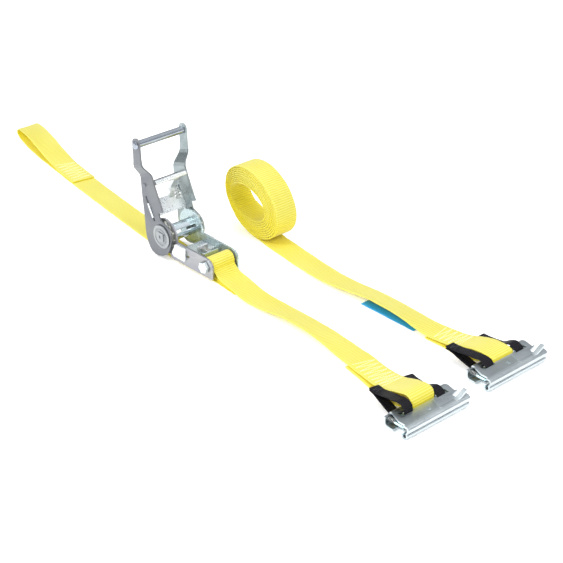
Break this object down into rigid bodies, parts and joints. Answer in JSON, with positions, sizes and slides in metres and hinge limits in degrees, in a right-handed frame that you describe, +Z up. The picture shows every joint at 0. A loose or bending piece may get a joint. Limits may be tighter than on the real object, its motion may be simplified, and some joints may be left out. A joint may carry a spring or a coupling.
{
  "type": "ratchet tie down",
  "caption": "Ratchet strap with a folding handle and sliding pawls, a sewn hand loop, flat webbing, a coiled long strap and spring track fittings at the ends.",
  "frame": {"origin": "the middle of the whole set's base, on the floor it is laid out on", "axes": "+X along the straps from the hand loop towards the track fittings, +Y across the webbing towards the coiled strap, +Z up"},
  "size_m": [0.6925, 0.1688, 0.1173],
  "materials": {
    "zinc_plated_steel": "bright bluish zinc plating over stamped steel, faintly yellow in the shaded faces",
    "pawl_steel": "zinc plated and passivated stampings, slightly warmer than the frame",
    "spring_steel": "plain drawn spring wire",
    "yellow_webbing": "woven polyester webbing with fine ribs across its width and stitched overlaps",
    "black_webbing": "narrow woven webbing with a dull sheen",
    "blue_label": "smooth coated cloth label, blank"
  },
  "bodies": {
    "frame": {"frame_plate_left": "zinc_plated_steel", "frame_plate_right": "zinc_plated_steel", "frame_cross_tie": "zinc_plated_steel", "end_bolt": "zinc_plated_steel", "end_bolt_nut": "zinc_plated_steel", "end_bolt_sleeve": "zinc_plated_steel", "lock_pawl_spring": "spring_steel", "short_strap": "yellow_webbing", "hand_loop_strap": "yellow_webbing", "track_fitting_one_body": "zinc_plated_steel", "track_fitting_one_spring_left": "spring_steel", "track_fitting_one_spring_right": "spring_steel", "long_strap": "yellow_webbing", "long_strap_coil": "yellow_webbing", "label_tag": "blue_label", "track_fitting_two_body": "zinc_plated_steel", "track_fitting_two_spring_left": "spring_steel", "track_fitting_two_spring_right": "spring_steel"},
    "spindle": {"ratchet_wheel_left": "zinc_plated_steel", "ratchet_wheel_right": "zinc_plated_steel", "spindle_half_upper": "zinc_plated_steel", "spindle_half_lower": "zinc_plated_steel", "spindle_cap_left": "zinc_plated_steel", "spindle_cap_right": "zinc_plated_steel"},
    "handle": {"handle_plate_left": "zinc_plated_steel", "handle_plate_right": "zinc_plated_steel", "grip_rod": "zinc_plated_steel", "pawl_spring_anchor": "zinc_plated_steel", "drive_pawl_spring": "spring_steel"},
    "drive_pawl": {"drive_pawl": "pawl_steel"},
    "lock_pawl": {"lock_pawl": "pawl_steel"},
    "latch_one": {"track_fitting_one_latch": "pawl_steel", "track_fitting_one_tab_left": "black_webbing", "track_fitting_one_tab_right": "black_webbing"},
    "latch_two": {"track_fitting_two_latch": "pawl_steel", "track_fitting_two_tab_left": "black_webbing", "track_fitting_two_tab_right": "black_webbing"}
  },
  "joints": [
    {"name": "handle_hinge", "type": "hinge", "parent": "frame", "child": "handle", "pos_m": [-0.0162, -0.01825, 0.024], "axis": [0, 1, 0], "range_deg": [-60, 100]},
    {"name": "spindle_spin", "type": "hinge", "parent": "frame", "child": "spindle", "pos_m": [-0.0162, -0.01825, 0.024], "axis": [0, 1, 0], "continuous": true},
    {"name": "drive_pawl_slide", "type": "slide", "parent": "handle", "child": "drive_pawl", "axis": [-0.4779, 0, 0.8784], "range_m": [0, 0.004], "stiffness_N_per_m": 1500, "springref_m": -0.003, "deforming": ["drive_pawl_spring"]},
    {"name": "lock_pawl_slide", "type": "slide", "parent": "frame", "child": "lock_pawl", "axis": [1, 0, 0], "range_m": [0, 0.004], "stiffness_N_per_m": 1200, "springref_m": -0.003, "deforming": ["lock_pawl_spring"]},
    {"name": "latch_one_slide", "type": "slide", "parent": "frame", "child": "latch_one", "axis": [-1, 0, 0], "range_m": [0, 0.003], "stiffness_N_per_m": 1500, "springref_m": -0.0025, "deforming": ["track_fitting_one_spring_left", "track_fitting_one_spring_right"]},
    {"name": "latch_two_slide", "type": "slide", "parent": "frame", "child": "latch_two", "axis": [-1, 0, 0], "range_m": [0, 0.003], "stiffness_N_per_m": 1500, "springref_m": -0.0025, "deforming": ["track_fitting_two_spring_left", "track_fitting_two_spring_right"]}
  ]
}
